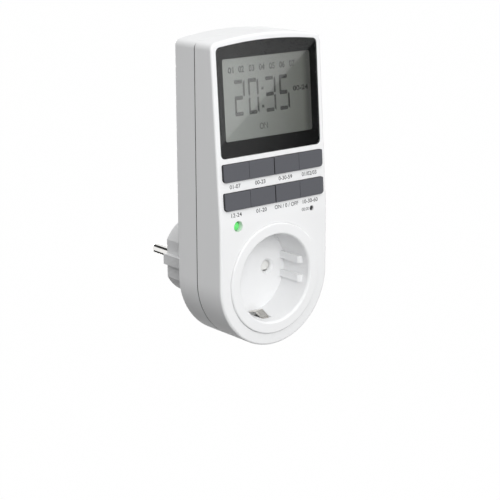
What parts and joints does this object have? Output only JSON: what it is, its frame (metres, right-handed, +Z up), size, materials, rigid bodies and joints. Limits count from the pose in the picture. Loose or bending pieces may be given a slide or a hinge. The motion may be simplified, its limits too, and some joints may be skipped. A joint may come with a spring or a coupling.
{
  "type": "plug in timer switch",
  "caption": "Wall plug-in weekly timer switch: rear plug with two round pins, earthed socket in front, keys and a digital display above it.",
  "frame": {"origin": "middle of the plug's face, between the two pins, where it meets the floor of a wall socket", "axes": "+Y along the plug pins, into the wall; the socket and display face -Y; +Z up along the housing, +X to the right seen from the front"},
  "size_m": [0.06, 0.0764, 0.1357],
  "materials": {
    "housing_white": "fine satin moulded surface",
    "cup_white": "satin moulded surface",
    "carrier_ivory": "moulded, slightly rough",
    "shutter_white": "satin moulded surface",
    "key_grey": "satin moulded surface",
    "rod_grey": "satin moulded surface",
    "lens_smoke": "polished smoked clear plastic",
    "bezel_grey": "satin dark grey film",
    "lcd_glass": "grey-green reflective liquid crystal",
    "frame_black": "moulded, matt",
    "strip_rubber": "silicone rubber with fine conducting layers",
    "mat_rubber": "silicone rubber",
    "board_green": "glass-epoxy laminate with solder mask",
    "chip_black": "moulded epoxy",
    "crystal_metal": "bright drawn can",
    "lamp_green": "clear green lamp body",
    "pin_nickel": "bright nickel plating",
    "contact_brass": "bare stamped strip",
    "earth_nickel": "nickel-plated strip",
    "spring_steel": "bright drawn strip",
    "relay_black": "moulded box",
    "capacitor_yellow": "moulded box",
    "capacitor_sleeve": "shrink sleeve over a metal can",
    "resistor_blue": "lacquered ceramic",
    "varistor_orange": "epoxy-dipped disc",
    "link_black": "moulded header",
    "cell_steel": "nickel-plated steel",
    "screw_steel": "zinc-plated steel"
  },
  "bodies": {
    "root": {"backup_cell": "cell_steel", "board_link": "link_black", "carrier_screws": "screw_steel", "case_screws": "screw_steel", "cell_tabs": "cell_steel", "clock_crystal": "crystal_metal", "contact_carrier": "carrier_ivory", "contact_strip": "strip_rubber", "control_board": "board_green", "control_board_screws": "screw_steel", "display_bezel": "bezel_grey", "display_frame": "frame_black", "display_glass": "lcd_glass", "display_lens": "lens_smoke", "dropper_capacitor": "capacitor_yellow", "earth_frame": "earth_nickel", "front_shell": "housing_white", "fuse_resistor": "resistor_blue", "key_mat": "mat_rubber", "line_contact": "contact_brass", "line_pin": "pin_nickel", "line_strap": "contact_brass", "load_strap": "contact_brass", "microcontroller": "chip_black", "neutral_contact": "contact_brass", "neutral_pin": "pin_nickel", "neutral_strap": "contact_brass", "power_board": "board_green", "power_board_screws": "screw_steel", "rear_shell": "housing_white", "rectifier": "chip_black", "relay": "relay_black", "reservoir_capacitor": "capacitor_sleeve", "return_strap": "contact_brass", "shutter_spring": "spring_steel", "socket_cup": "cup_white", "status_lamp": "lamp_green", "varistor": "varistor_orange"},
    "key_lower_1": {"key_lower_1": "key_grey"},
    "key_lower_2": {"key_lower_2": "key_grey"},
    "key_lower_3": {"key_lower_3": "key_grey"},
    "key_lower_4": {"key_lower_4": "key_grey"},
    "key_upper_1": {"key_upper_1": "key_grey"},
    "key_upper_2": {"key_upper_2": "key_grey"},
    "key_upper_3": {"key_upper_3": "key_grey"},
    "key_upper_4": {"key_upper_4": "key_grey"},
    "reset_rod": {"reset_rod": "rod_grey"},
    "shutter": {"shutter": "shutter_white"}
  },
  "joints": [
    {"name": "key_lower_1_press", "type": "slide", "parent": "root", "child": "key_lower_1", "axis": [0, 0.9975, -0.0706], "range_m": [0, 0.0008], "stiffness_N_per_m": 500, "springref_m": -0.0005, "deforming": ["key_mat"]},
    {"name": "key_lower_2_press", "type": "slide", "parent": "root", "child": "key_lower_2", "axis": [0, 0.9975, -0.0706], "range_m": [0, 0.0008], "stiffness_N_per_m": 500, "springref_m": -0.0005, "deforming": ["key_mat"]},
    {"name": "key_lower_3_press", "type": "slide", "parent": "root", "child": "key_lower_3", "axis": [0, 0.9975, -0.0706], "range_m": [0, 0.0008], "stiffness_N_per_m": 500, "springref_m": -0.0005, "deforming": ["key_mat"]},
    {"name": "key_lower_4_press", "type": "slide", "parent": "root", "child": "key_lower_4", "axis": [0, 0.9975, -0.0706], "range_m": [0, 0.0008], "stiffness_N_per_m": 500, "springref_m": -0.0005, "deforming": ["key_mat"]},
    {"name": "key_upper_1_press", "type": "slide", "parent": "root", "child": "key_upper_1", "axis": [0, 0.9975, -0.0706], "range_m": [0, 0.0008], "stiffness_N_per_m": 500, "springref_m": -0.0005, "deforming": ["key_mat"]},
    {"name": "key_upper_2_press", "type": "slide", "parent": "root", "child": "key_upper_2", "axis": [0, 0.9975, -0.0706], "range_m": [0, 0.0008], "stiffness_N_per_m": 500, "springref_m": -0.0005, "deforming": ["key_mat"]},
    {"name": "key_upper_3_press", "type": "slide", "parent": "root", "child": "key_upper_3", "axis": [0, 0.9975, -0.0706], "range_m": [0, 0.0008], "stiffness_N_per_m": 500, "springref_m": -0.0005, "deforming": ["key_mat"]},
    {"name": "key_upper_4_press", "type": "slide", "parent": "root", "child": "key_upper_4", "axis": [0, 0.9975, -0.0706], "range_m": [0, 0.0008], "stiffness_N_per_m": 500, "springref_m": -0.0005, "deforming": ["key_mat"]},
    {"name": "reset_rod_press", "type": "slide", "parent": "root", "child": "reset_rod", "axis": [0, 0.9975, -0.0706], "range_m": [0, 0.0008], "stiffness_N_per_m": 500, "springref_m": -0.0005, "deforming": ["key_mat"]},
    {"name": "shutter_turn", "type": "hinge", "parent": "root", "child": "shutter", "pos_m": [0, -0.03645, 0], "axis": [0, 1, 0], "range_deg": [0, 40], "stiffness_Nm_per_rad": 0.004, "springref_deg": -11.46, "deforming": ["shutter_spring"]}
  ]
}
